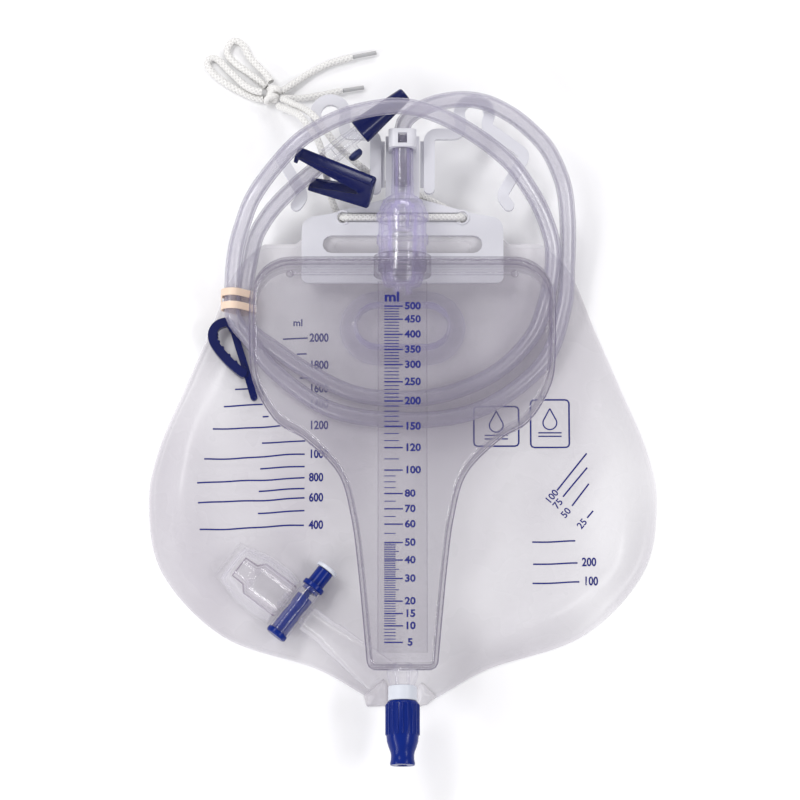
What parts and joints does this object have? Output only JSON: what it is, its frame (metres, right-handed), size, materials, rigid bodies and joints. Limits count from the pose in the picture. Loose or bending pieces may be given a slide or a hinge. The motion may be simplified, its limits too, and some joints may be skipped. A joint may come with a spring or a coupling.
{
  "type": "urine drainage bag with measuring chamber",
  "caption": "Film urine drainage bag with a clear rigid measuring chamber in front, hanger with hooks, drip chamber, inlet tube with clamp and capped connector, rope and drain tap.",
  "frame": {"origin": "on the surface the bag lies on, under the middle of everything but the tube, its fittings and the rope", "axes": "+X to the right of the front face, +Y up to the hooks, +Z out of the front face"},
  "size_m": [0.305, 0.4542, 0.0689],
  "materials": {
    "bag_film": "frosted vinyl film",
    "sleeve_film": "soft clear vinyl",
    "clear_plastic": "clear, polished",
    "chamber_plastic": "clear, polished",
    "duct_plastic": "clear",
    "tinted_plastic": "clear, lilac tint",
    "flap_film": "thin film",
    "blue_plastic": "royal blue, satin",
    "navy_plastic": "navy blue, satin",
    "white_plastic": "white, satin",
    "hanger_plastic": "off-white, moulded",
    "tube_vinyl": "translucent vinyl",
    "rope_cord": "braided cord",
    "tip_plastic": "clear shrunk tip",
    "seal_rubber": "black rubber",
    "septum_rubber": "dark blue rubber",
    "band_rubber": "peach latex band"
  },
  "bodies": {
    "set": {"bag": "bag_film", "bag_pocket": "bag_film", "outlet_sleeve": "sleeve_film", "tap_body": "clear_plastic", "tap_collar": "blue_plastic", "tap_spout": "clear_plastic", "meter_front_shell": "chamber_plastic", "meter_back_shell": "chamber_plastic", "overflow_duct": "duct_plastic", "drip_cap": "tinted_plastic", "drip_chamber": "tinted_plastic", "drip_bowl": "tinted_plastic", "reflux_flap": "flap_film", "outlet_nozzle": "clear_plastic", "outlet_collar": "white_plastic", "outlet_seal": "seal_rubber", "hanger_plate": "hanger_plastic", "inlet_tube": "tube_vinyl", "sampling_port": "clear_plastic", "port_septum": "septum_rubber", "catheter_connector": "clear_plastic", "pinch_clamp": "navy_plastic", "sheet_clip": "navy_plastic", "tube_band": "band_rubber", "rope_sling": "rope_cord", "rope_bow_upper": "rope_cord", "rope_bow_lower": "rope_cord", "rope_tail_upper": "rope_cord", "rope_tail_lower": "rope_cord", "rope_tip_upper": "tip_plastic", "rope_tip_lower": "tip_plastic", "rope_knot": "rope_cord"},
    "right_hook": {"hook_right": "hanger_plastic"},
    "left_hook": {"hook_left": "hanger_plastic"},
    "twist_valve": {"outlet_twist_cap": "blue_plastic"},
    "tap_plunger": {"tap_piston": "blue_plastic", "tap_end_cap": "white_plastic"},
    "line_cap": {"connector_cap": "navy_plastic"}
  },
  "joints": [
    {"name": "right_hook_fold", "type": "hinge", "parent": "set", "child": "right_hook", "pos_m": [0.0105, 0.146, 0.0274], "axis": [0, 1, 0], "range_deg": [0, 90], "stiffness_Nm_per_rad": 0.25},
    {"name": "left_hook_fold", "type": "hinge", "parent": "set", "child": "left_hook", "pos_m": [-0.0105, 0.146, 0.0274], "axis": [0, -1, 0], "range_deg": [0, 90], "stiffness_Nm_per_rad": 0.25},
    {"name": "twist_valve_turn", "type": "hinge", "parent": "set", "child": "twist_valve", "pos_m": [0, -0.186, 0.038], "axis": [0, 1, 0], "range_deg": [0, 90]},
    {"name": "tap_push", "type": "slide", "parent": "set", "child": "tap_plunger", "axis": [-0.6088, -0.7934, 0], "range_m": [0, 0.008]},
    {"name": "line_cap_pull", "type": "slide", "parent": "set", "child": "line_cap", "axis": [0.7739, 0.6178, 0.1392], "range_m": [0, 0.026]}
  ]
}
